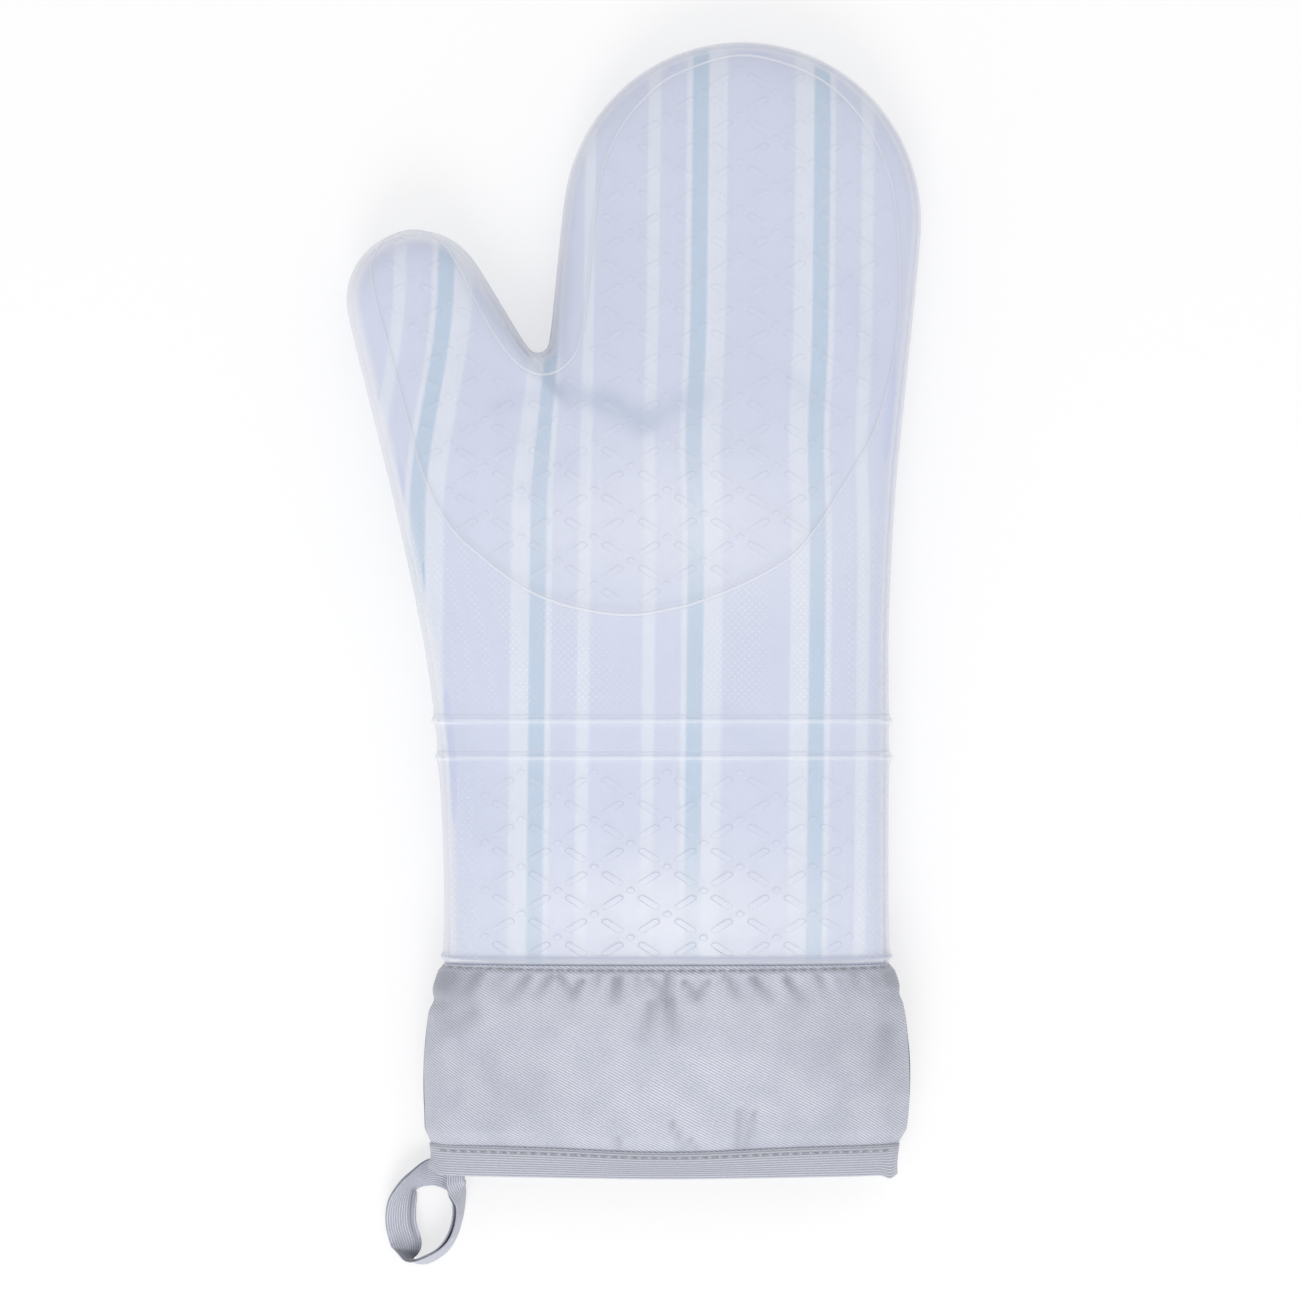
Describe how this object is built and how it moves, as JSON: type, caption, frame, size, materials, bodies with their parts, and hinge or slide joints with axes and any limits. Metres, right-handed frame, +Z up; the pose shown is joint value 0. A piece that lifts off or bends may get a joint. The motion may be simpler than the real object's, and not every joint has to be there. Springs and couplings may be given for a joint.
{
  "type": "oven mitt",
  "caption": "Long oven mitt: a translucent silicone glove with a thumb, a quilted striped liner, a bound twill cuff and a tape loop to hang it by.",
  "frame": {"origin": "below the middle of the whole mitt's box, on the surface that it lies on", "axes": "+Y from the hem to the fingertips, +X away from the thumb, +Z up from the palm that it lies on"},
  "size_m": [0.1909, 0.4033, 0.0389],
  "materials": {
    "silicone": "translucent satin silicone",
    "liner_fabric": "woven stripes",
    "wadding": "needled wadding",
    "lining": "plain weave",
    "cuff_twill": "twill weave",
    "binding_twill": "twill tape",
    "tape": "ribbed tape"
  },
  "bodies": {
    "mitt": {"silicone_glove": "silicone", "liner_face_front": "liner_fabric", "liner_face_back": "liner_fabric", "wadding_front": "wadding", "wadding_back": "wadding", "lining_front": "lining", "lining_back": "lining", "cuff_front": "cuff_twill", "cuff_back": "cuff_twill", "hem_binding": "binding_twill", "loop_sewn_ends": "tape"},
    "loop": {"hanging_loop": "tape"}
  },
  "joints": [
    {"name": "loop_swing", "type": "hinge", "parent": "mitt", "child": "loop", "pos_m": [-0.0567, -0.17422, 0.0154], "axis": [1, 0, 0], "range_deg": [-80, 30]}
  ]
}
